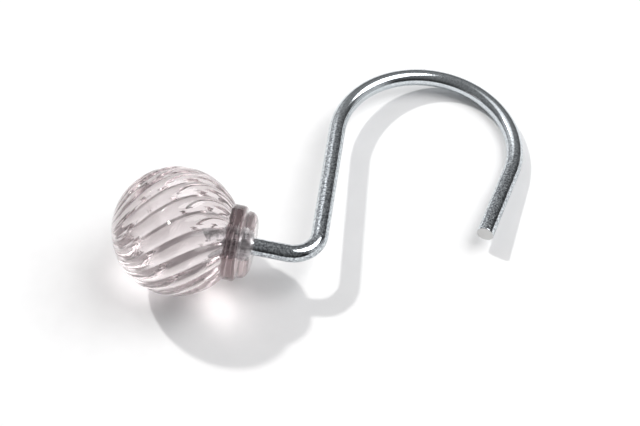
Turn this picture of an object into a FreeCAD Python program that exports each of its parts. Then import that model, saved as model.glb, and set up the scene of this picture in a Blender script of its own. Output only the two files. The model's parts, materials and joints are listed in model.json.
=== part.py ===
import FreeCAD, Part
import math
import os

# Curtain hook: a bent round wire with a twisted fluted ball moulded on a collar at its foot.
# Millimetres and degrees. The hook hangs in the XZ plane with +Z up, the rod runs along Y, and
# the origin is the centre of the rod arc.

# Wire hook
wire_d = 3.0               # round wire
rod_space_d = 29.2         # clear width inside the rod arc
leg_len = 24.2             # straight leg, from the arc down to the foot bend
tail_turn = 13.8           # the arc goes on this far past the half turn, so that the tail leans in
tail_len = 15.1            # straight tail, down to its cut end
tail_edge_r = 0.15         # rounding of the cut end's rim
foot_inside_r = 3.2        # inside radius of the foot bend
foot_turn = 93.2           # turn of the foot bend, from straight down towards the ball
stub_len = 5.8             # bare wire between the foot bend and the collar's end face

# Wire end inside the ball
tang_len = 9.5             # wire below the collar's end face
tang_plain_len = 0.9       # smooth part of it, next to the end face
grip_len = 4.6             # ringed part after that, and then smooth again
grip_d = 4.0               # crests of the grip rings
grip_root_d = 3.2          # grooves between the rings
grip_pitch = 0.75          # ring to ring
grip_clearance = 0.06      # gap between the wire and the bore moulded round it, each side
bore_end_gap = 0.3         # air below the wire's end

# Fluted ball
ball_d = 22.1              # over the lobes' crests
lobe_count = 18
lobe_depth = 0.5           # crest to valley at the equator
neck_depth = 0.9           # added to the valleys where the collar leaves the ball
lobe_start = 14.0          # polar angle of the first section, under the collar
lobe_end = 174.0           # polar angle of the last section, at the far pole
lobe_sections = 17
twist_slope = 0.27         # turn per degree of polar angle where the collar leaves the ball
twist_growth = 0.0052      # growth of that turn, per degree of polar angle
twist_phase = 1.5          # height of a valley above the front, as a turn, where the collar leaves the ball

# Collar
collar_d = 13.0
collar_face_h = 13.35      # ball centre to the collar's end face
collar_shoulder_r = 0.6    # rounding of the shoulder's edge
bead_d = 11.5              # rounded bead between the groove and the end face
bead_h = 1.75              # end face to the groove's lower wall
bead_face_d = 7.8          # flat of the end face
groove_w = 0.35
groove_d = 10.8

# Values that follow from those above
wire_r = wire_d / 2.0
arc_r = rod_space_d / 2.0 + wire_r
foot_r = foot_inside_r + wire_r
ball_r = ball_d / 2.0
collar_r = collar_d / 2.0
collar_root_angle = math.degrees(math.asin(collar_r / ball_r))
front = FreeCAD.Vector(0.0, -1.0, 0.0)


def at(x, z):
    """Point in the plane of the hook."""
    return FreeCAD.Vector(x, 0.0, z)


def on_circle(centre, radius, degrees):
    """Point in the plane of the hook, by centre, radius and angle from +X."""
    a = math.radians(degrees)
    return centre + at(radius * math.cos(a), radius * math.sin(a))


# Foot of the hook: bend, stub, collar and ball lie on one straight axis
foot_centre = at(-arc_r - foot_r, -leg_len)
stub_start = on_circle(foot_centre, foot_r, -foot_turn)
stub_axis = at(-math.sin(math.radians(foot_turn)), -math.cos(math.radians(foot_turn)))
collar_face = stub_start + stub_axis * stub_len
ball_centre = collar_face + stub_axis * collar_face_h


def ball_placement():
    """From the ball's own frame, +Z towards the collar and +X to the front, to the hook's frame."""
    out = stub_axis * -1.0
    side = out.cross(front)
    turn = FreeCAD.Matrix(
        front.x, side.x, out.x, ball_centre.x,
        front.y, side.y, out.y, ball_centre.y,
        front.z, side.z, out.z, ball_centre.z,
        0.0, 0.0, 0.0, 1.0)
    return FreeCAD.Placement(turn)


def revolved(edges):
    """Solid of revolution about Z from a closed profile in the XZ plane."""
    face = Part.Face(Part.Wire(edges))
    return face.revolve(FreeCAD.Vector(0, 0, 0), FreeCAD.Vector(0, 0, 1), 360.0)


def polyline(points):
    """Straight edges through the points."""
    return [Part.makeLine(a, b) for a, b in zip(points[:-1], points[1:])]


def straight(start, end):
    """Straight length of wire between two points."""
    return Part.makeCylinder(wire_r, (end - start).Length, start, end - start)


def bend(centre, radius, first, turn):
    """Bent length of wire round a centre, from a first angle on through a turn."""
    start = on_circle(centre, radius, first)
    section = Part.makeCircle(wire_r, start, front.cross(start - centre))
    return Part.Face(Part.Wire(section)).revolve(centre, front, turn)


def bent_wire():
    """Wire from the tail's cut end over the rod arc, down the leg and round the foot bend."""
    centre = at(0.0, 0.0)
    arc_end = on_circle(centre, arc_r, -tail_turn)
    down = at(-math.sin(math.radians(tail_turn)), -math.cos(math.radians(tail_turn)))
    tail_end = arc_end + down * tail_len
    tail = straight(tail_end, arc_end)
    rim = [e for e in tail.Edges if (e.CenterOfMass - tail_end).Length < 1e-6]
    tail = tail.makeFillet(tail_edge_r, rim)
    arc = bend(centre, arc_r, -tail_turn, 180.0 + tail_turn)
    leg = straight(at(-arc_r, 0.0), at(-arc_r, -leg_len))
    foot = bend(foot_centre, foot_r, -foot_turn, foot_turn)
    stub = straight(stub_start, collar_face)
    return tail.multiFuse([arc, leg, foot, stub])


def wire_end(top, bottom, allowance):
    """End of the wire inside the ball, in the ball's frame: neck, grip rings and tip, with an allowance."""
    rings = int(grip_len / grip_pitch)
    crest = grip_d / 2.0 + allowance
    root = grip_root_d / 2.0 + allowance
    plain = wire_r + allowance
    z = collar_face_h - tang_plain_len
    points = [at(0.0, top), at(plain, top), at(plain, z)]
    for ring in range(rings):
        points.append(at(root, z - 0.20 * grip_pitch))
        points.append(at(crest, z - 0.50 * grip_pitch))
        points.append(at(crest, z - 0.70 * grip_pitch))
        z -= grip_pitch
        points.append(at(root, z))
    points.append(at(plain, z - 0.20 * grip_pitch))
    points.append(at(plain, bottom))
    points.append(at(0.0, bottom))
    points.append(points[0])
    return revolved(polyline(points))


def wire_hook():
    """The whole wire, one piece from the tail's cut end to the end inside the ball."""
    end = wire_end(collar_face_h, collar_face_h - tang_len, 0.0)
    end.Placement = ball_placement()
    return bent_wire().fuse(end).removeSplitter()


def lobe_arc(polar, lobe):
    """Arc across one lobe at a polar angle, from valley over crest to valley, with the twist there."""
    a = math.radians(polar)
    crest = ball_r * math.sin(a)
    nearness = max(0.0, math.cos(a) / math.cos(math.radians(collar_root_angle)))
    neck = neck_depth * nearness ** 4 * crest / collar_r
    valley = crest - lobe_depth * math.sin(a) - neck
    past = polar - collar_root_angle
    turn = twist_slope * past + twist_growth * past * abs(past) - twist_phase
    step = 360.0 / lobe_count

    def point(radius, share):
        t = math.radians(turn + (lobe + share) * step)
        return FreeCAD.Vector(radius * math.cos(t), radius * math.sin(t), ball_r * math.cos(a))

    return Part.Arc(point(valley, 0.0), point(crest, 0.5), point(valley, 1.0)).toShape()


def lobed_ball():
    """Ball of twisted lobes: one lobe lofted from under the collar to the far pole, and repeated."""
    span = lobe_end - lobe_start
    polar = [lobe_start + span * i / (lobe_sections - 1.0) for i in range(lobe_sections)]
    lobe = Part.makeLoft([Part.Wire(lobe_arc(p, 0)) for p in polar], False, False)
    faces = []
    for i in range(lobe_count):
        copy = lobe.copy()
        copy.rotate(FreeCAD.Vector(0, 0, 0), FreeCAD.Vector(0, 0, 1), i * 360.0 / lobe_count)
        faces += copy.Faces
    for p in (lobe_start, lobe_end):
        faces.append(Part.Face(Part.Wire([lobe_arc(p, i) for i in range(lobe_count)])))
    shell = Part.Shell(faces)
    shell.sewShape()
    solid = Part.Solid(shell)
    if solid.Volume < 0.0:
        solid.reverse()
    return solid


def collar():
    """Collar with a rounded shoulder, a groove and a rounded end bead."""
    root = math.sqrt((ball_r - 2.0 * neck_depth) ** 2 - collar_r ** 2)
    groove_top = collar_face_h - bead_h
    shoulder = groove_top - groove_w
    bead_r = bead_d / 2.0
    face_r = bead_face_d / 2.0
    groove_r = groove_d / 2.0
    edge_r = collar_shoulder_r
    slope = edge_r * (1.0 - math.sqrt(0.5))
    rounding = bead_r - face_r
    bead_side = collar_face_h - 0.8 * bead_h
    bead_rise = collar_face_h - bead_side
    if rounding >= bead_rise:
        dome = Part.Ellipse(at(bead_r, bead_side), at(face_r, collar_face_h), at(face_r, bead_side))
    else:
        dome = Part.Ellipse(at(face_r, collar_face_h), at(bead_r, bead_side), at(face_r, bead_side))
    start = dome.parameter(at(bead_r, bead_side))
    end = dome.parameter(at(face_r, collar_face_h))
    quarter = Part.ArcOfEllipse(dome, min(start, end), max(start, end)).toShape()
    edges = polyline([at(0.0, root), at(collar_r, root), at(collar_r, shoulder - edge_r)])
    edges.append(Part.Arc(
        at(collar_r, shoulder - edge_r), at(collar_r - slope, shoulder - slope),
        at(collar_r - edge_r, shoulder)).toShape())
    edges += polyline([
        at(collar_r - edge_r, shoulder), at(groove_r, shoulder), at(groove_r, groove_top),
        at(bead_r, groove_top), at(bead_r, bead_side)])
    edges.append(quarter)
    edges += polyline([at(face_r, collar_face_h), at(0.0, collar_face_h), at(0.0, root)])
    return revolved(edges)


def fluted_ball():
    """Ball and collar, one clear piece moulded round the wire's end, which leaves a blind bore with rings."""
    bore = wire_end(collar_face_h + 1.0, collar_face_h - tang_len - bore_end_gap, grip_clearance)
    solid = lobed_ball().fuse(collar()).cut(bore)
    solid.Placement = ball_placement()
    return solid


def main():
    """Write one file for each piece."""
    os.makedirs("parts", exist_ok=True)
    wire_hook().exportStep("parts/wire_hook.step")
    fluted_ball().exportStep("parts/fluted_ball.step")


main()
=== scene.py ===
import json
import logging
import math
from dataclasses import dataclass
from enum import Enum
from typing import Any, Dict, List, Optional, Sequence, Tuple, Union

import bpy
from mathutils import Matrix, Vector


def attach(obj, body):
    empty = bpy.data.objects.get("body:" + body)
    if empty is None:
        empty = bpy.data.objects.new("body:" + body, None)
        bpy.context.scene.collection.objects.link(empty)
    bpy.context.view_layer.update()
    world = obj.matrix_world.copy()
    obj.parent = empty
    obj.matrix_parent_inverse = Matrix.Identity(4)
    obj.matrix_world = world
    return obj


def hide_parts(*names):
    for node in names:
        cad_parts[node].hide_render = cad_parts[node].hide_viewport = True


# Curtain hook: a bent plated wire with a clear fluted ball on its foot, lying on a pale floor.
# Metres, in the frame of the solids: the hook's plane is XZ, +Z is up as it hangs, Y is the rod.

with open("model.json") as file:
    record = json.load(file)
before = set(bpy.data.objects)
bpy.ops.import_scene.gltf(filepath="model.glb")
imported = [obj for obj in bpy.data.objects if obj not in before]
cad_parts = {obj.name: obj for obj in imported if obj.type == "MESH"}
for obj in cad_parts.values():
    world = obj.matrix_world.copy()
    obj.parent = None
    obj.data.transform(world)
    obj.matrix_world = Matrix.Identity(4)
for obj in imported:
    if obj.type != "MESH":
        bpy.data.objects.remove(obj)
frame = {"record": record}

MM = 0.001
RIGHT_ANGLE = 90
BODY = "root"
FRONT = Vector((0.0, -1.0, 0.0))

# Sockets of the Mix node when it blends colours
MIX_FIRST = 6
MIX_LAST = 7
MIX_RESULT = 2

Colour = Tuple[float, float, float]
Triple = Tuple[float, float, float]
Number = Union[float, "Term"]
Tone = Union[Colour, bpy.types.NodeSocket]

log = logging.getLogger("curtain_hook")


class SocketKind(Enum):
    """Kinds of socket on the outside of a node tree."""

    NUMBER = "NodeSocketFloat"
    MATERIAL = "NodeSocketMaterial"
    GEOMETRY = "NodeSocketGeometry"


class LampRole(Enum):
    """What a studio lamp is there for."""

    KEY = "key_lamp"
    SIDE = "side_lamp"


class Term:
    """A value in a node tree that takes part in sums like a number."""

    def __init__(self, graph: "Graph", socket: bpy.types.NodeSocket) -> None:
        """Keep the socket that gives the value."""
        self.graph = graph
        self.socket = socket

    def __add__(self, other: Number) -> "Term":
        """Sum with a number or another value."""
        return self.graph.math("ADD", self, other)

    def __radd__(self, other: Number) -> "Term":
        """Sum with a number on the left."""
        return self.graph.math("ADD", other, self)

    def __sub__(self, other: Number) -> "Term":
        """Difference from a number or another value."""
        return self.graph.math("SUBTRACT", self, other)

    def __rsub__(self, other: Number) -> "Term":
        """Difference with a number on the left."""
        return self.graph.math("SUBTRACT", other, self)

    def __mul__(self, other: Number) -> "Term":
        """Product with a number or another value."""
        return self.graph.math("MULTIPLY", self, other)

    def __truediv__(self, other: Number) -> "Term":
        """Share of a number or another value."""
        return self.graph.math("DIVIDE", self, other)

    def __rtruediv__(self, other: Number) -> "Term":
        """Share with a number on the left."""
        return self.graph.math("DIVIDE", other, self)

    def sin(self) -> "Term":
        """Sine."""
        return self.graph.math("SINE", self)

    def cos(self) -> "Term":
        """Cosine."""
        return self.graph.math("COSINE", self)

    def root(self) -> "Term":
        """Square root."""
        return self.graph.math("SQRT", self)

    def size(self) -> "Term":
        """Value without its sign."""
        return self.graph.math("ABSOLUTE", self)

    def part(self) -> "Term":
        """Part after the whole number."""
        return self.graph.math("FRACT", self)

    def above(self, other: Number) -> "Term":
        """One where the value is greater than the other, and otherwise nought."""
        return self.graph.math("GREATER_THAN", self, other)

    def least(self, other: Number) -> "Term":
        """The smaller of two values."""
        return self.graph.math("MINIMUM", self, other)

    def most(self, other: Number) -> "Term":
        """The greater of two values."""
        return self.graph.math("MAXIMUM", self, other)


class Graph:
    """A node tree, with short ways to add nodes, join them and do sums."""

    def __init__(self, tree: bpy.types.NodeTree) -> None:
        """Keep the tree that the nodes go into."""
        self.tree = tree

    def add(self, kind: str, options: Optional[Dict[str, Any]] = None,
            inputs: Optional[Dict[Any, Any]] = None) -> bpy.types.Node:
        """Add one node.

        Args:
            kind: Type name of the node.
            options: Settings of the node by name.
            inputs: Values, sockets or terms for its inputs, by socket name or number.

        Returns:
            The new node.
        """
        node = self.tree.nodes.new(kind)
        for name, value in (options or {}).items():
            setattr(node, name, value)
        for name, value in (inputs or {}).items():
            self.feed(node.inputs[name], value)
        return node

    def feed(self, socket: bpy.types.NodeSocket, value: Any) -> None:
        """Give an input its value.

        Args:
            socket: Input of a node.
            value: Term or socket to link, or anything else to set on the input itself.
        """
        if isinstance(value, Term):
            self.tree.links.new(value.socket, socket)
        elif isinstance(value, bpy.types.NodeSocket):
            self.tree.links.new(value, socket)
        else:
            socket.default_value = value

    def term(self, socket: bpy.types.NodeSocket) -> Term:
        """Wrap an output socket for use in sums."""
        return Term(self, socket)

    def math(self, operation: str, *values: Number) -> Term:
        """Add one step of a sum.

        Args:
            operation: Name of the step.
            values: Numbers or terms that it works on.

        Returns:
            The result.
        """
        node = self.add("ShaderNodeMath", {"operation": operation}, dict(enumerate(values)))
        return self.term(node.outputs[0])

    def smooth(self, value: Number, low: float, high: float) -> Term:
        """Smooth step from nought to one.

        Args:
            value: What the step is taken over.
            low: Where the step starts.
            high: Where the step ends.

        Returns:
            The stepped value.
        """
        node = self.add("ShaderNodeMapRange", {"interpolation_type": "SMOOTHSTEP"}, {
            "Value": value, "From Min": low, "From Max": high, "To Min": 0.0, "To Max": 1.0})
        return self.term(node.outputs["Result"])

    def blend(self, share: Number, first: Tone, last: Tone) -> bpy.types.NodeSocket:
        """Colour between two colours.

        Args:
            share: Nought for the first colour and one for the last.
            first: First colour, or a socket with it.
            last: Last colour, or a socket with it.

        Returns:
            The blended colour.
        """
        node = self.add("ShaderNodeMix", {"data_type": "RGBA"}, {0: share})
        for number, tone in ((MIX_FIRST, first), (MIX_LAST, last)):
            self.feed(node.inputs[number], (*tone, 1.0) if isinstance(tone, tuple) else tone)
        return node.outputs[MIX_RESULT]

    def carried(self, label: str) -> Term:
        """Number that the mesh carries under a name, in a material."""
        return self.term(self.add("ShaderNodeAttribute", {"attribute_name": label}).outputs["Fac"])


def new_tree(name: str, kind: str, inputs: Dict[str, SocketKind], outputs: Dict[str, SocketKind]) -> Graph:
    """Make a node group with its outer sockets and its input and output nodes.

    Args:
        name: Name of the group.
        kind: Type name of the tree.
        inputs: Kind of each input, by name.
        outputs: Kind of each output, by name.

    Returns:
        The group as a graph.
    """
    tree = bpy.data.node_groups.new(name, kind)
    for direction, sockets in (("INPUT", inputs), ("OUTPUT", outputs)):
        for label, socket in sockets.items():
            tree.interface.new_socket(name=label, in_out=direction, socket_type=socket.value)
    tree.nodes.new("NodeGroupInput")
    tree.nodes.new("NodeGroupOutput")
    return Graph(tree)


def outer(graph: Graph) -> Tuple[bpy.types.Node, bpy.types.Node]:
    """Input node and output node of a group."""
    return graph.tree.nodes["Group Input"], graph.tree.nodes["Group Output"]


def shape_tree(name: str, labels: Sequence[str]) -> Tuple[Graph, Dict[str, Term]]:
    """Make a geometry tree that takes a seed mesh, a material and named sizes.

    Args:
        name: Name of the tree.
        labels: Names of the sizes.

    Returns:
        The tree as a graph, and its sizes by name.
    """
    inputs = {"Geometry": SocketKind.GEOMETRY, "Material": SocketKind.MATERIAL}
    inputs.update({label: SocketKind.NUMBER for label in labels})
    graph = new_tree(name, "GeometryNodeTree", inputs, {"Geometry": SocketKind.GEOMETRY})
    given, _ = outer(graph)
    return graph, {label: graph.term(given.outputs[label]) for label in labels}


def seed_mesh(name: str, points: Sequence[Sequence[float]], edges: Sequence[Sequence[int]],
              faces: Sequence[Sequence[int]], values: Dict[str, Sequence[float]]) -> bpy.types.Mesh:
    """Plain mesh that a geometry tree starts from.

    Args:
        name: Name of the mesh.
        points: Corner places.
        edges: Pairs of corner numbers.
        faces: Rings of corner numbers.
        values: Numbers on the corners, by attribute name.

    Returns:
        The mesh.
    """
    mesh = bpy.data.meshes.new(name)
    mesh.from_pydata(points, edges, faces)
    for label, numbers in values.items():
        mesh.attributes.new(label, "FLOAT", "POINT").data.foreach_set("value", list(numbers))
    return mesh


def grown(name: str, seed: bpy.types.Mesh, tree: bpy.types.NodeTree,
          values: Dict[str, Any]) -> bpy.types.Object:
    """Run a geometry tree on a seed mesh and keep the result as a plain mesh.

    Args:
        name: Name of the piece.
        seed: Mesh that the tree starts from.
        tree: Geometry tree.
        values: Value of each named input.

    Returns:
        The piece, with no modifier left on it.
    """
    piece = bpy.data.objects.new(name, seed)
    bpy.context.scene.collection.objects.link(piece)
    modifier = piece.modifiers.new(name, "NODES")
    modifier.node_group = tree
    for item in tree.interface.items_tree:
        if item.in_out == "INPUT" and item.name in values:
            modifier[item.identifier] = values[item.name]
    depsgraph = bpy.context.evaluated_depsgraph_get()
    mesh = bpy.data.meshes.new_from_object(
        piece.evaluated_get(depsgraph), preserve_all_data_layers=True, depsgraph=depsgraph)
    piece.modifiers.remove(modifier)
    piece.data = mesh
    mesh.name = name
    bpy.data.meshes.remove(seed)
    return piece


def ended(graph: Graph, geometry: bpy.types.NodeSocket) -> None:
    """Close a geometry tree with smooth shading, real geometry and the material that it was given.

    Args:
        graph: Geometry tree.
        geometry: Socket with the shape.
    """
    given, result = outer(graph)
    shade = graph.add("GeometryNodeSetShadeSmooth", inputs={"Geometry": geometry})
    real = graph.add("GeometryNodeRealizeInstances", inputs={"Geometry": shade.outputs[0]})
    dressed = graph.add("GeometryNodeSetMaterial", inputs={
        "Geometry": real.outputs[0], "Material": given.outputs["Material"]})
    graph.feed(result.inputs["Geometry"], dressed.outputs[0])


def named(graph: Graph, label: str) -> Term:
    """Number that the seed mesh carries under a name."""
    node = graph.add("GeometryNodeInputNamedAttribute", {"data_type": "FLOAT"}, {"Name": label})
    return graph.term(node.outputs["Attribute"])


def on_circle(centre: Vector, radius: float, degrees: float) -> Vector:
    """Point in the plane of the hook, by centre, radius and angle from +X."""
    a = math.radians(degrees)
    return centre + Vector((radius * math.cos(a), 0.0, radius * math.sin(a)))


def quarter(step: int) -> List[float]:
    """Angles of a quarter turn in radians, by a step in whole degrees that goes into it evenly."""
    return [math.radians(degrees) for degrees in range(0, RIGHT_ANGLE + 1, step)]


@dataclass(frozen=True)
class FineGrain:
    """Shader group for fine grain, which the wire, the acrylic and the floor share."""

    name: str = "fine_grain"
    detail: float = 3.0
    breakup: float = 0.6
    patch_ratio: float = 0.22  # scale of the broad patches against the fine grain
    patch_detail: float = 1.0
    middle: float = 0.5  # mean of the noise

    def build(self) -> bpy.types.NodeTree:
        """Make the group.

        Returns:
            The group, with Scale and Contrast in and Mask, Patch and Height out.
        """
        number = SocketKind.NUMBER
        graph = new_tree(self.name, "ShaderNodeTree", {"Scale": number, "Contrast": number},
                         {"Mask": number, "Patch": number, "Height": number})
        given, result = outer(graph)
        place = graph.add("ShaderNodeTexCoord").outputs["Object"]
        scale = graph.term(given.outputs["Scale"])
        contrast = graph.term(given.outputs["Contrast"])
        fine = graph.add("ShaderNodeTexNoise", inputs={
            "Vector": place, "Scale": scale, "Detail": self.detail, "Roughness": self.breakup})
        broad = graph.add("ShaderNodeTexNoise", inputs={
            "Vector": place, "Scale": scale * self.patch_ratio, "Detail": self.patch_detail})
        height = graph.term(fine.outputs["Fac"])
        graph.feed(result.inputs["Mask"], self.parted(height, contrast))
        graph.feed(result.inputs["Patch"], self.parted(graph.term(broad.outputs["Fac"]), contrast))
        graph.feed(result.inputs["Height"], height)
        return graph.tree

    def parted(self, noise: Term, contrast: Term) -> Term:
        """Noise drawn apart about its middle and kept between nought and one."""
        return ((noise - self.middle) * contrast + self.middle).least(1.0).most(0.0)


@dataclass(frozen=True)
class Finish:
    """What every finish shares: the fine grain and the way a material starts."""

    grain: bpy.types.NodeTree

    def start(self, name: str) -> Tuple[bpy.types.Material, Graph]:
        """Empty material with its node graph.

        Args:
            name: Name of the material.

        Returns:
            The material and its graph, still empty.
        """
        material = bpy.data.materials.new(name)
        material.use_nodes = True
        material.node_tree.nodes.clear()
        return material, Graph(material.node_tree)

    def grained(self, graph: Graph, scale: float, contrast: float) -> bpy.types.Node:
        """Place the shared grain in a material.

        Args:
            graph: Graph of the material.
            scale: Grains in a metre.
            contrast: How hard the grains stand out.

        Returns:
            The group node.
        """
        return graph.add("ShaderNodeGroup", {"node_tree": self.grain}, {"Scale": scale, "Contrast": contrast})


@dataclass(frozen=True)
class PlatedWire(Finish):
    """Bright plated steel, speckled on the straight lengths and pale inside the ball, with a bare cut end."""

    light: Colour = (0.805, 0.857, 0.885)
    dark: Colour = (0.265, 0.283, 0.31)
    plain: float = 0.72  # tone of smooth plating, from dark to light
    inner: Colour = (0.92, 0.92, 0.93)
    inner_dark: Colour = (0.50, 0.50, 0.51)
    inner_roughness: float = 0.4
    cut: Colour = (0.60, 0.60, 0.595)
    cut_roughness: float = 0.5
    cut_depth: float = 0.03 * MM  # depth of the bare steel at the cut face
    speck_scale: float = 2800.0  # specks in a metre
    speck_contrast: float = 4.0
    roughness: Tuple[float, float] = (0.06, 0.14)
    dimple: float = 0.02 * MM
    dimple_strength: float = 0.5

    def build(self) -> bpy.types.Material:
        """Make the material.

        Returns:
            The wire's material.
        """
        material, graph = self.start("plated_wire")
        grain = self.grained(graph, self.speck_scale, self.speck_contrast)
        coarse, inside = graph.carried("coarse"), graph.carried("inside")
        bare = 1.0 - graph.carried("along").above(self.cut_depth)
        speck = self.plain + (graph.term(grain.outputs["Mask"]) - self.plain) * coarse
        ringed = graph.blend(grain.outputs["Mask"], self.inner_dark, self.inner)
        plated = graph.blend(inside, graph.blend(speck, self.dark, self.light), ringed)
        smooth, rough = self.roughness
        dull = smooth + speck * (rough - smooth)
        dull = dull + inside * (self.inner_roughness - rough) + bare * (self.cut_roughness - rough)
        bump = graph.add("ShaderNodeBump", inputs={
            "Strength": self.dimple_strength, "Distance": self.dimple,
            "Height": graph.term(grain.outputs["Height"]) * coarse})
        shader = graph.add("ShaderNodeBsdfPrincipled", inputs={
            "Base Color": graph.blend(bare, plated, self.cut), "Metallic": 1.0, "Roughness": dull,
            "Normal": bump.outputs[0]})
        graph.add("ShaderNodeOutputMaterial", inputs={"Surface": shader.outputs[0]})
        return material


@dataclass(frozen=True)
class ClearAcrylic(Finish):
    """Clear moulded acrylic with a faint pink tint."""

    tint: Colour = (0.94, 0.91, 0.912)  # of the light that goes through
    tint_density: float = 60.0  # per metre
    clear: Colour = (0.945, 0.914, 0.917)
    hazy: Colour = (0.872, 0.836, 0.843)
    # The collar's side: partly the acrylic's own tint, partly painted shade for the shadowed floor seen
    # through it
    collar_tint_and_shade: Colour = (0.23, 0.172, 0.177)
    refraction: float = 1.49
    ripple_scale: float = 420.0
    ripple_contrast: float = 1.6
    ripple_strength: float = 0.12
    ripple_height: float = 0.15 * MM
    roughness: Tuple[float, float] = (0.0, 0.004)
    line_place: float = 0.62  # share of the way from a crest to a valley
    line_width: float = 0.13  # in the same shares, to each side
    line_wander: float = 0.12  # sway of the lines from side to side, in the same shares
    line_height: float = 0.016 * MM
    grit_scale: float = 2600.0
    grit_contrast: float = 2.0
    grit_height: float = 0.012 * MM
    grit_reach: Tuple[float, float] = (0.70, 0.98)  # shares where the grit starts and is full

    def lines(self, graph: Graph, wander: Term) -> Term:
        """Height of the soft mould lines beside each valley and of the grit in it.

        Args:
            graph: Graph of the material.
            wander: Slow wave that the lines sway with, about nought.

        Returns:
            The height in metres.
        """
        grit = self.grained(graph, self.grit_scale, self.grit_contrast)
        flank = graph.carried("flank")
        aside = (flank + wander * self.line_wander - self.line_place).size()
        near = 1.0 - (aside / self.line_width).least(1.0)
        valley = graph.smooth(flank, *self.grit_reach)
        return near * near * self.line_height + graph.term(grit.outputs["Height"]) * valley * self.grit_height

    def build(self) -> bpy.types.Material:
        """Make the material, with a dark mauve on the collar's side that is partly the acrylic's tint and
        partly painted shade.

        Returns:
            The ball's material.
        """
        material, graph = self.start("clear_acrylic")
        grain = self.grained(graph, self.ripple_scale, self.ripple_contrast)
        wave = graph.term(grain.outputs["Height"])
        smooth, rough = self.roughness
        ripple = graph.add("ShaderNodeBump", inputs={
            "Strength": self.ripple_strength, "Distance": self.ripple_height, "Height": wave})
        lined = graph.add("ShaderNodeBump", inputs={
            "Strength": 1.0, "Distance": 1.0, "Normal": ripple.outputs[0],
            "Height": self.lines(graph, wave - FineGrain.middle)})
        clear = graph.blend(grain.outputs["Patch"], self.clear, self.hazy)
        # Painted shade: the collar's side is darkened to a deep mauve
        colour = graph.blend(graph.carried("shaded_collar"), clear, self.collar_tint_and_shade)
        glass = graph.add("ShaderNodeBsdfPrincipled", inputs={
            "Base Color": colour, "Normal": lined.outputs[0],
            "Roughness": smooth + graph.term(grain.outputs["Mask"]) * (rough - smooth),
            "Transmission Weight": 1.0, "IOR": self.refraction})
        inside = graph.add("ShaderNodeVolumeAbsorption", inputs={
            "Color": (*self.tint, 1.0), "Density": self.tint_density})
        graph.add("ShaderNodeOutputMaterial", inputs={
            "Surface": glass.outputs[0], "Volume": inside.outputs[0]})
        return material


@dataclass(frozen=True)
class PaleFloor(Finish):
    """Matt near-white floor with a faint mottle, clear from below."""

    light: Colour = (0.93, 0.93, 0.935)
    dark: Colour = (0.88, 0.88, 0.885)
    mottle_scale: float = 160.0
    mottle_contrast: float = 1.5

    def build(self) -> bpy.types.Material:
        """Make the material.

        Returns:
            The floor's material.
        """
        material, graph = self.start("pale_floor")
        grain = self.grained(graph, self.mottle_scale, self.mottle_contrast)
        matt = graph.add("ShaderNodeBsdfDiffuse", inputs={
            "Color": graph.blend(grain.outputs["Mask"], self.dark, self.light)})
        clear = graph.add("ShaderNodeBsdfTransparent")
        side = graph.add("ShaderNodeNewGeometry")
        mix = graph.add("ShaderNodeMixShader", inputs={
            0: side.outputs["Backfacing"], 1: matt.outputs[0], 2: clear.outputs[0]})
        graph.add("ShaderNodeOutputMaterial", inputs={"Surface": mix.outputs[0]})
        return material


@dataclass(frozen=True)
class HookSeats:
    """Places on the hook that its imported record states."""

    rod_radius: float
    wire_radius: float
    stub_middle: Vector
    stub_axis: Vector
    stub_length: float

    @classmethod
    def read(cls, record: Dict[str, Any]) -> "HookSeats":
        """Take the seats from the record.

        Args:
            record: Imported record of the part.

        Returns:
            The seats in metres.
        """
        mounts = {mount["name"]: mount for mount in record["mounts"]}
        rod, eyelet = mounts["rod_seat"], mounts["eyelet_seat"]
        return cls(rod["dims"]["r_mm"] * MM, eyelet["dims"]["r_mm"] * MM, Vector(eyelet["pos_m"]),
                   Vector(eyelet["axis"]), eyelet["dims"]["length_mm"] * MM)

    @property
    def collar_face(self) -> Vector:
        """Where the stub goes into the ball's collar."""
        return self.stub_middle + self.stub_axis * (self.stub_length / 2.0)


@dataclass(frozen=True)
class GripRings:
    """The wire's end inside the ball: a plain neck, grip rings and a plain tip."""

    neck: float = 0.9 * MM
    pitch: float = 0.75 * MM
    count: int = 6
    crest: float = 2.0 * MM  # radius over the rings
    root: float = 1.6 * MM  # radius between the rings
    length: float = 9.5 * MM
    steps: int = 10  # sections in one ring
    close_ring: float = 0.02 * MM  # section close behind a change, so that shading stays crisp

    @property
    def end(self) -> float:
        """Depth at which the rings end and the tip starts."""
        return self.neck + self.count * self.pitch

    def depths(self) -> List[float]:
        """Depths of the sections, close together along the rings and where the surface changes.

        Returns:
            Depths below the collar's end face, down to the tip.
        """
        total = self.count * self.steps
        rings = [self.neck + (self.end - self.neck) * i / total for i in range(total + 1)]
        return [0.0, self.close_ring] + rings + [self.end + self.close_ring, self.length]

    def radius(self, depth: float, plain: float) -> float:
        """Distance from the axis to the wire's surface.

        Args:
            depth: Depth below the collar's end face.
            plain: Radius of the plain wire.

        Returns:
            The distance.
        """
        if not self.neck <= depth <= self.end:
            return plain
        wave = 0.5 - 0.5 * math.cos(2.0 * math.pi * (depth - self.neck) / self.pitch)
        return self.root + wave * (self.crest - self.root)


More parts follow.
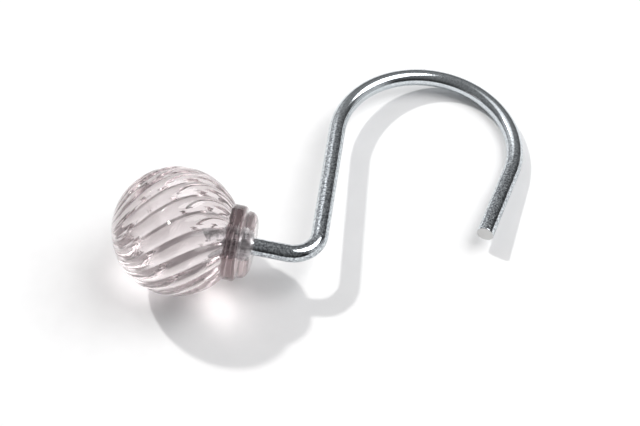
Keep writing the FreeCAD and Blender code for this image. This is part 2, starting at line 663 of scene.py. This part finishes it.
@dataclass
class WireHook:
    """The bent wire, from the tail's cut end to the ringed end inside the ball."""

    seats: HookSeats
    rings: GripRings
    leg_length: float = 24.2 * MM
    tail_turn: float = 13.8  # the arc goes on this far past the half turn, in degrees
    tail_length: float = 15.1 * MM
    cut_edge: float = 0.12 * MM
    cut_edge_step: int = 15
    cut_support: float = 0.24 * MM  # section behind the rim, so that its shading stays crisp
    foot_radius: float = 4.7 * MM
    foot_turn: float = 93.2
    arc_coarseness: float = 0.3  # of the plating over the rod arc, against one on the straights
    smooth_start: float = -0.25  # height where the plating turns smooth, in rod radii
    smooth_run: float = 0.6  # height that the change takes, in rod radii
    inside_margin: float = 0.01 * MM  # past the collar's face before the wire counts as inside
    ring_slack: float = 0.01  # share of a ring, so that the last section still counts
    sides: int = 56
    bend_step: float = 1.6  # degrees from section to section
    crease: float = 50.0  # degrees from which an edge stays sharp

    def route(self) -> List[Vector]:
        """Centre line of the wire.

        Returns:
            Points from the tail's cut end to the end inside the ball.
        """
        seats = self.seats
        arc_radius = seats.rod_radius + seats.wire_radius
        centre = Vector((0.0, 0.0, 0.0))
        arc_end = on_circle(centre, arc_radius, -self.tail_turn)
        lean = math.radians(self.tail_turn)
        down = Vector((-math.sin(lean), 0.0, -math.cos(lean)))
        rim = [self.cut_edge * (1.0 - math.cos(a)) for a in quarter(self.cut_edge_step)]
        points = [arc_end + down * (self.tail_length - depth) for depth in rim + [self.cut_support]]
        points.append(arc_end + down * (self.tail_length / 2.0))
        points += self.bend(centre, arc_radius, -self.tail_turn, 180.0 + self.tail_turn)
        points.append(Vector((-arc_radius, 0.0, -self.leg_length / 2.0)))
        foot = Vector((-arc_radius - self.foot_radius, 0.0, -self.leg_length))
        points += self.bend(foot, self.foot_radius, 0.0, -self.foot_turn)
        points.append(seats.stub_middle)
        points += [seats.collar_face + seats.stub_axis * depth for depth in self.rings.depths()]
        return points

    def bend(self, centre: Vector, radius: float, first: float, turn: float) -> List[Vector]:
        """Points round one bend.

        Args:
            centre: Middle of the bend.
            radius: Radius of the wire's centre line.
            first: Angle that the bend starts at.
            turn: Angle that the bend goes through.

        Returns:
            Points at even steps, both ends included.
        """
        count = math.ceil(abs(turn) / self.bend_step)
        return [on_circle(centre, radius, first + turn * i / count) for i in range(count + 1)]

    def coarse(self, point: Vector) -> float:
        """How coarse the plating is: one on the straight lengths, and less over the rod arc."""
        rise = (point.z / self.seats.rod_radius - self.smooth_start) / self.smooth_run
        return 1.0 - (1.0 - self.arc_coarseness) * min(max(rise, 0.0), 1.0)

    def tree(self) -> bpy.types.NodeTree:
        """Geometry tree that gives the centre line its round section, cut rim and grip rings.

        Returns:
            The tree, with its sizes as named inputs.
        """
        graph, size = shape_tree("wire_section", (
            "Wire Radius", "Cut Edge", "Ring Start", "Ring Count", "Ring Pitch", "Ring Crest", "Ring Root",
            "Sides"))
        given, _ = outer(graph)
        along = named(graph, "along")
        depth = 1.0 - (along / size["Cut Edge"]).least(1.0)
        rounding = size["Cut Edge"] * (1.0 - (1.0 - depth * depth).root())
        turns = (along - size["Ring Start"]) / size["Ring Pitch"]
        wave = 0.5 - (turns * (2.0 * math.pi)).cos() * 0.5
        ringed = size["Ring Root"] + wave * (size["Ring Crest"] - size["Ring Root"])
        in_rings = turns.above(0.0) * (1.0 - turns.above(size["Ring Count"] + self.ring_slack))
        radius = size["Wire Radius"] - rounding + in_rings * (ringed - size["Wire Radius"])
        line = graph.add("GeometryNodeMeshToCurve", inputs={"Mesh": given.outputs["Geometry"]})
        ring = graph.add("GeometryNodeCurvePrimitiveCircle", inputs={
            "Radius": 1.0, "Resolution": size["Sides"]})
        wire = graph.add("GeometryNodeCurveToMesh", inputs={
            "Curve": line.outputs[0], "Profile Curve": ring.outputs[0], "Scale": radius, "Fill Caps": True})
        ended(graph, wire.outputs[0])
        return graph.tree

    def build(self, finish: bpy.types.Material) -> bpy.types.Object:
        """Make the wire.

        Args:
            finish: Material of the wire.

        Returns:
            The wire, in place of its solid.
        """
        points = self.route()
        steps = [(b - a).length for a, b in zip(points[:-1], points[1:])]
        along = [sum(steps[:i]) for i in range(len(points))]
        rings = self.rings
        face = along[-1] - rings.length
        edges = [(i, i + 1) for i in range(len(points) - 1)]
        seed = seed_mesh("wire_line", points, edges, [], {
            "along": along, "coarse": [self.coarse(point) for point in points],
            "inside": [float(distance > face + self.inside_margin) for distance in along]})
        piece = grown("bent_wire", seed, self.tree(), {
            "Material": finish, "Wire Radius": self.seats.wire_radius, "Cut Edge": self.cut_edge,
            "Ring Start": face + rings.neck, "Ring Count": float(rings.count), "Ring Pitch": rings.pitch,
            "Ring Crest": rings.crest, "Ring Root": rings.root, "Sides": float(self.sides)})
        piece.data.set_sharp_from_angle(angle=math.radians(self.crease))
        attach(piece, BODY)
        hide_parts("wire_hook")
        return piece


@dataclass
class FlutedBall:
    """The clear ball of twisted lobes with its collar, moulded as one piece round a blind bore."""

    seats: HookSeats
    rings: GripRings
    radius: float = 11.05 * MM
    lobes: int = 18
    lobe_depth: float = 0.5 * MM
    neck_depth: float = 0.9 * MM
    valley_width: float = 0.20 * MM  # rounding of the valleys, to each side
    valley_rise: float = 0.03 * MM  # how far the rounding fills a valley
    last_polar: float = 174.0  # degrees from the collar's side, at the far pole
    twist_slope: float = 0.27  # turn per degree where the collar leaves the ball
    twist_growth: float = 0.0052  # growth of that turn per degree
    twist_phase: float = 1.5  # turn of a valley from the front, in degrees
    collar_radius: float = 6.5 * MM
    collar_lift: float = 0.25 * MM  # first section of the collar, above where the crests meet it
    face_height: float = 13.35 * MM
    shoulder_rounding: float = 0.6 * MM
    shoulder_step: int = 15
    bead_radius: float = 5.75 * MM
    bead_height: float = 1.75 * MM
    bead_face_radius: float = 3.9 * MM
    bead_rise_share: float = 0.8  # share of the bead's height that is rounded
    bead_step: int = 9
    groove_width: float = 0.35 * MM
    groove_radius: float = 5.4 * MM
    bond: float = 0.03 * MM  # how far the acrylic lies inside the wire's surface
    columns_per_lobe: int = 24
    ball_rows: int = 110
    meeting_steps: int = 5  # rounds to find where the lobes meet the collar
    crease: float = 30.0  # degrees from which an edge stays sharp

    def collar_profile(self) -> List[Tuple[float, float]]:
        """Outline of the collar from where it leaves the ball, over the bead and down the bore.

        Returns:
            Pairs of distance from the axis and height above the ball's centre.
        """
        face, edge = self.face_height, self.shoulder_rounding
        groove_top = face - self.bead_height
        shoulder = groove_top - self.groove_width
        side = face - self.bead_rise_share * self.bead_height
        start = math.sqrt(self.radius ** 2 - self.collar_radius ** 2) + self.collar_lift
        outline = [(self.collar_radius, start), (self.collar_radius, (start + shoulder - edge) / 2.0)]
        for a in quarter(self.shoulder_step):
            outline.append((self.collar_radius - edge * (1.0 - math.cos(a)),
                            shoulder - edge * (1.0 - math.sin(a))))
        outline += [(self.groove_radius, shoulder), (self.groove_radius, groove_top),
                    (self.bead_radius, groove_top)]
        for a in quarter(self.bead_step):
            outline.append((self.bead_face_radius + (self.bead_radius - self.bead_face_radius) * math.cos(a),
                            side + (face - side) * math.sin(a)))
        for depth in self.rings.depths()[:-1] + [self.rings.length - self.bond]:
            outline.append((self.rings.radius(depth, self.seats.wire_radius) - self.bond, face - depth))
        return outline

    def sheet(self) -> bpy.types.Mesh:
        """Ring of columns that the geometry tree bends into the ball and its collar.

        Returns:
            Closed mesh whose corners carry their place on the ball or the collar's outline.
        """
        per_lobe = self.columns_per_lobe
        columns = self.lobes * per_lobe
        pole_height = self.radius * math.cos(math.radians(self.last_polar))
        outline = self.collar_profile()
        side = self.face_height - self.bead_height - self.groove_width
        flanks = [abs(2.0 * (i % per_lobe) / per_lobe - 1.0) for i in range(columns)]
        # Each row has its share of the ball's way, whether it is on the collar, distance, height and whether
        # it takes the collar's tint with painted shade
        rows = [(i / self.ball_rows, 0.0, 0.0, 0.0, 0.0) for i in range(self.ball_rows + 1)]
        for distance, height in outline:
            # Rows on the collar's plain side get its tint with painted shade
            shaded_collar = float(distance > self.groove_radius and height < side)
            rows.append((1.0, 1.0, distance, height, shaded_collar))
        ends = [(0.0, 1.0, 0.0, pole_height, 0.0), (1.0, 1.0, 0.0, outline[-1][1], 0.0)]
        points = [(i / columns, *row, flanks[i] * (1.0 - row[1])) for row in rows for i in range(columns)]
        points += [(0.0, *end, 0.0) for end in ends]
        pole, bottom = len(points) - 2, len(points) - 1
        last = (len(rows) - 1) * columns
        faces = []
        for i in range(columns):
            j = (i + 1) % columns
            faces.append((pole, j, i))
            faces.append((last + i, last + j, bottom))
            for row in range(len(rows) - 1):
                low, high = row * columns, (row + 1) * columns
                faces.append((low + i, low + j, high + j, high + i))
        labels = ("around", "share", "on_collar", "distance", "height", "shaded_collar", "flank")
        values = {label: [point[k] for point in points] for k, label in enumerate(labels)}
        return seed_mesh("ball_sheet", [(0.0, 0.0, 0.0)] * len(points), [], faces, values)

    def lobe_radius(self, size: Dict[str, Term], sine: Term, cosine: Term, swing: Term) -> Term:
        """Distance from the axis to a lobe's arc, which goes from valley over the crest to valley.

        Args:
            size: Named inputs of the tree.
            sine: Sine of the polar angle.
            cosine: Cosine of the polar angle.
            swing: Angle round the axis from the lobe's crest.

        Returns:
            The distance.
        """
        half = math.pi / size["Lobe Count"]
        crest = size["Ball Radius"] * sine
        plain = size["Collar Radius"] / size["Ball Radius"]
        nearness = (cosine * cosine.above(0.0)) / (1.0 - plain * plain).root()
        neck = size["Neck Depth"] * nearness * nearness * nearness * nearness * sine / plain
        valley = crest - size["Lobe Depth"] * sine - neck
        width = valley * half.sin()
        rise = crest - valley * half.cos()
        bow = (width * width + rise * rise) / (rise * 2.0)
        middle = crest - bow
        across = middle * swing.sin()
        sharp = middle * swing.cos() + (bow * bow - across * across).root()
        closeness = 1.0 - ((half - swing.size()) * valley / (size["Valley Width"] * sine)).least(1.0)
        return sharp + size["Valley Rise"] * sine * closeness * closeness

    def tree(self) -> bpy.types.NodeTree:
        """Geometry tree that bends the sheet into twisted lobes and the plain collar.

        Returns:
            The tree, with its sizes as named inputs.
        """
        graph, size = shape_tree("twisted_lobes", (
            "Ball Radius", "Lobe Count", "Lobe Depth", "Neck Depth", "Valley Width", "Valley Rise",
            "Last Polar", "Twist Slope", "Twist Growth", "Twist Phase", "Collar Radius"))
        given, _ = outer(graph)
        around, share, on_collar = (named(graph, k) for k in ("around", "share", "on_collar"))
        swing = ((around * size["Lobe Count"]).part() - 0.5) * (2.0 * math.pi) / size["Lobe Count"]
        plain = size["Collar Radius"] / size["Ball Radius"]
        sine = plain
        for _ in range(self.meeting_steps):
            cosine = (1.0 - sine * sine).root()
            sine = sine * size["Collar Radius"] / self.lobe_radius(size, sine, cosine, swing)
        meeting = graph.math("ARCSINE", sine)
        polar = size["Last Polar"] - share * (size["Last Polar"] - meeting)
        past = polar - graph.math("ARCSINE", plain)
        turn = past * size["Twist Slope"] + past * past.size() * size["Twist Growth"] - size["Twist Phase"]
        angle = turn + around * (2.0 * math.pi)
        ball_distance = self.lobe_radius(size, polar.sin(), polar.cos(), swing)
        ball_height = size["Ball Radius"] * polar.cos()
        distance = ball_distance + on_collar * (named(graph, "distance") - ball_distance)
        height = ball_height + on_collar * (named(graph, "height") - ball_height)
        place = graph.add("ShaderNodeCombineXYZ", inputs={
            "X": distance * angle.cos(), "Y": distance * angle.sin(), "Z": height})
        bent = graph.add("GeometryNodeSetPosition", inputs={
            "Geometry": given.outputs["Geometry"], "Position": place.outputs[0]})
        ended(graph, bent.outputs[0])
        return graph.tree

    def placement(self) -> Matrix:
        """From the ball's own frame, +Z to the collar and +X to the front, to the hook's frame.

        Returns:
            The turn and the move.
        """
        out = -self.seats.stub_axis.normalized()
        side = out.cross(FRONT)
        centre = self.seats.collar_face - out * self.face_height
        turn = Matrix((FRONT, side, out)).transposed().to_4x4()
        return Matrix.Translation(centre) @ turn

    def build(self, finish: bpy.types.Material) -> bpy.types.Object:
        """Make the ball.

        Args:
            finish: Material of the ball.

        Returns:
            The ball, in place of its solid.
        """
        piece = grown("fluted_ball_clear", self.sheet(), self.tree(), {
            "Material": finish, "Ball Radius": self.radius, "Lobe Count": float(self.lobes),
            "Lobe Depth": self.lobe_depth, "Neck Depth": self.neck_depth,
            "Valley Width": self.valley_width, "Valley Rise": self.valley_rise,
            "Last Polar": math.radians(self.last_polar),
            "Twist Slope": self.twist_slope, "Twist Growth": math.degrees(self.twist_growth),
            "Twist Phase": math.radians(self.twist_phase), "Collar Radius": self.collar_radius})
        piece.data.transform(self.placement())
        piece.data.set_sharp_from_angle(angle=math.radians(self.crease))
        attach(piece, BODY)
        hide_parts("fluted_ball")
        return piece


@dataclass(frozen=True)
class Lamp:
    """One round soft lamp, aimed at the hook."""

    role: LampRole
    towards: Triple
    distance: float
    size: float
    power: float
    colour: Colour = (1.0, 1.0, 1.0)

    def build(self, target: Vector) -> bpy.types.Object:
        """Make the lamp.

        Args:
            target: Point that the lamp looks at.

        Returns:
            The lamp.
        """
        data = bpy.data.lights.new(self.role.value, "AREA")
        data.shape = "DISK"
        data.size = self.size
        data.energy = self.power
        data.color = self.colour
        lamp = bpy.data.objects.new(self.role.value, data)
        bpy.context.scene.collection.objects.link(lamp)
        direction = Vector(self.towards).normalized()
        turn = direction.to_track_quat("Z", "Y").to_matrix().to_4x4()
        lamp.matrix_world = Matrix.Translation(target + direction * self.distance) @ turn
        return lamp


@dataclass(frozen=True)
class Glow:
    """One soft bright patch of the room: where it lies, its brightness and its spread in degrees."""

    towards: Triple
    strength: float
    spread: float


@dataclass
class Studio:
    """Pale floor, soft lamps, dim room and the camera."""

    floor_normal: Triple = (-0.1308, -0.9890, -0.0691)  # up from the floor that the hook lies on
    floor_reach: float = 1.5  # middle to each edge
    camera_place: Triple = (-11.143 * MM, -228.046 * MM, -198.869 * MM)
    camera_look: Triple = (-0.0191, 0.78555, 0.61851)
    camera_up: Triple = (-0.14943, -0.61391, 0.77510)
    camera_lens: float = 94.56  # focal length in millimetres
    camera_near: float = 10.0 * MM
    room_colour: Colour = (1.0, 1.0, 1.01)
    room_base: float = 0.050
    room_overhead: float = 0.172
    overhead_reach: Tuple[float, float] = (0.25, 0.95)  # cosines where the light starts and is full
    room_far: float = 0.127
    far_reach: Tuple[float, float] = (0.0, 0.9)
    room_left: float = 0.115
    left_reach: Tuple[float, float] = (0.35, 0.95)
    glows: Tuple[Glow, ...] = (
        Glow(towards=(-0.746, -0.369, 0.554), strength=0.44, spread=35.0),
        Glow(towards=(0.939, -0.323, -0.117), strength=0.52, spread=32.0),
        Glow(towards=(-0.457, -0.787, 0.415), strength=0.96, spread=24.0),
    )
    glow_full: float = 0.99  # cosine to a glow's middle at which it is full
    backdrop: Colour = (0.90, 0.90, 0.905)  # what the camera sees past the floor
    light_bounces: int = 24  # enough for the light inside the lobes
    gloss_blur: float = 0.35
    lamp_target: Triple = (-12.0 * MM, 0.0, -10.0 * MM)
    lamps: Tuple[Lamp, ...] = (
        Lamp(LampRole.KEY, towards=(-0.618, -0.694, 0.369), distance=1.20, size=0.07, power=6.7,
             colour=(1.0, 0.99, 0.97)),
        Lamp(LampRole.SIDE, towards=(0.424, -0.90, 0.107), distance=0.90, size=0.72, power=5.7),
    )

    def floor(self, ball: FlutedBall, finish: bpy.types.Material) -> bpy.types.Object:
        """Make the floor that the ball rests on.

        Args:
            ball: The ball.
            finish: Material of the floor.

        Returns:
            The floor.
        """
        normal = Vector(self.floor_normal).normalized()
        side = normal.orthogonal().normalized() * self.floor_reach
        ahead = normal.cross(side)
        foot = ball.placement().translation - normal * ball.radius
        edge = [foot + side + ahead, foot - side + ahead, foot - side - ahead, foot + side - ahead]
        mesh = seed_mesh("pale_floor", edge, [], [(0, 1, 2, 3)], {})
        if mesh.polygons[0].normal.dot(normal) < 0.0:
            mesh.flip_normals()
        mesh.materials.append(finish)
        floor = bpy.data.objects.new("pale_floor", mesh)
        bpy.context.scene.collection.objects.link(floor)
        return floor

    def room(self) -> bpy.types.World:
        """Make the dim room round the table, lighter overhead, at the far side and to the left.

        Returns:
            The world.
        """
        world = bpy.data.worlds.new("room")
        world.use_nodes = True
        world.node_tree.nodes.clear()
        graph = Graph(world.node_tree)
        direction = graph.add("ShaderNodeTexCoord").outputs["Generated"]
        normal = Vector(self.floor_normal).normalized()
        look = Vector(self.camera_look)
        far = (look - normal * look.dot(normal)).normalized()
        overhead = graph.smooth(self.facing(graph, direction, normal), *self.overhead_reach)
        away = graph.smooth(self.facing(graph, direction, far), *self.far_reach)
        left = graph.smooth(self.facing(graph, direction, normal.cross(far)), *self.left_reach)
        level = self.room_base + overhead * self.room_overhead + away * self.room_far + left * self.room_left
        for glow in self.glows:
            near = self.facing(graph, direction, Vector(glow.towards).normalized())
            edge = math.cos(math.radians(glow.spread))
            level = level + graph.smooth(near, edge, self.glow_full) * glow.strength
        room = graph.add("ShaderNodeBackground", inputs={
            "Color": (*self.room_colour, 1.0), "Strength": level})
        plain = graph.add("ShaderNodeBackground", inputs={
            "Color": (*self.backdrop, 1.0), "Strength": 1.0})
        path = graph.add("ShaderNodeLightPath")
        mix = graph.add("ShaderNodeMixShader", inputs={
            0: path.outputs["Is Camera Ray"], 1: room.outputs[0], 2: plain.outputs[0]})
        graph.add("ShaderNodeOutputWorld", inputs={"Surface": mix.outputs[0]})
        bpy.context.scene.world = world
        return world

    def facing(self, graph: Graph, direction: bpy.types.NodeSocket, axis: Vector) -> Term:
        """How far a direction in the room goes along an axis.

        Args:
            graph: Graph of the world.
            direction: Socket with the direction.
            axis: Axis to measure along.

        Returns:
            One along the axis and minus one against it.
        """
        node = graph.add("ShaderNodeVectorMath", {"operation": "DOT_PRODUCT"}, {
            0: direction, 1: tuple(axis)})
        return graph.term(node.outputs["Value"])

    def camera(self) -> bpy.types.Object:
        """Make the camera at the photograph's viewing angle.

        Returns:
            The camera.
        """
        data = bpy.data.cameras.new("camera")
        data.lens = self.camera_lens
        data.clip_start = self.camera_near
        camera = bpy.data.objects.new("camera", data)
        bpy.context.scene.collection.objects.link(camera)
        back = -Vector(self.camera_look).normalized()
        right = Vector(self.camera_up).cross(back).normalized()
        up = back.cross(right)
        turn = Matrix((right, up, back)).transposed().to_4x4()
        camera.matrix_world = Matrix.Translation(self.camera_place) @ turn
        bpy.context.scene.camera = camera
        return camera

    def build(self, ball: FlutedBall, floor_finish: bpy.types.Material) -> None:
        """Set up the whole studio.

        Args:
            ball: The ball, which rests on the floor.
            floor_finish: Material of the floor.
        """
        self.floor(ball, floor_finish)
        self.room()
        for lamp in self.lamps:
            lamp.build(Vector(self.lamp_target))
        self.camera()
        bpy.context.scene.view_settings.view_transform = "Standard"
        cycles = bpy.context.scene.cycles
        cycles.blur_glossy = self.gloss_blur
        cycles.max_bounces = self.light_bounces
        cycles.transmission_bounces = self.light_bounces
        cycles.glossy_bounces = self.light_bounces


def main() -> None:
    """Build the hook's pieces and the studio, and log their face and lamp counts."""
    logging.basicConfig(level=logging.INFO, format="%(message)s")
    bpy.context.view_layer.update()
    grain = FineGrain().build()
    seats = HookSeats.read(frame["record"])
    rings = GripRings()
    wire = WireHook(seats, rings).build(PlatedWire(grain).build())
    log.info("%s: %d faces", wire.name, len(wire.data.polygons))
    ball = FlutedBall(seats, rings)
    clear = ball.build(ClearAcrylic(grain).build())
    log.info("%s: %d faces", clear.name, len(clear.data.polygons))
    studio = Studio()
    studio.build(ball, PaleFloor(grain).build())
    log.info("studio: floor, room, camera and %d lamps", len(studio.lamps))


if __name__ == "__main__":
    main()
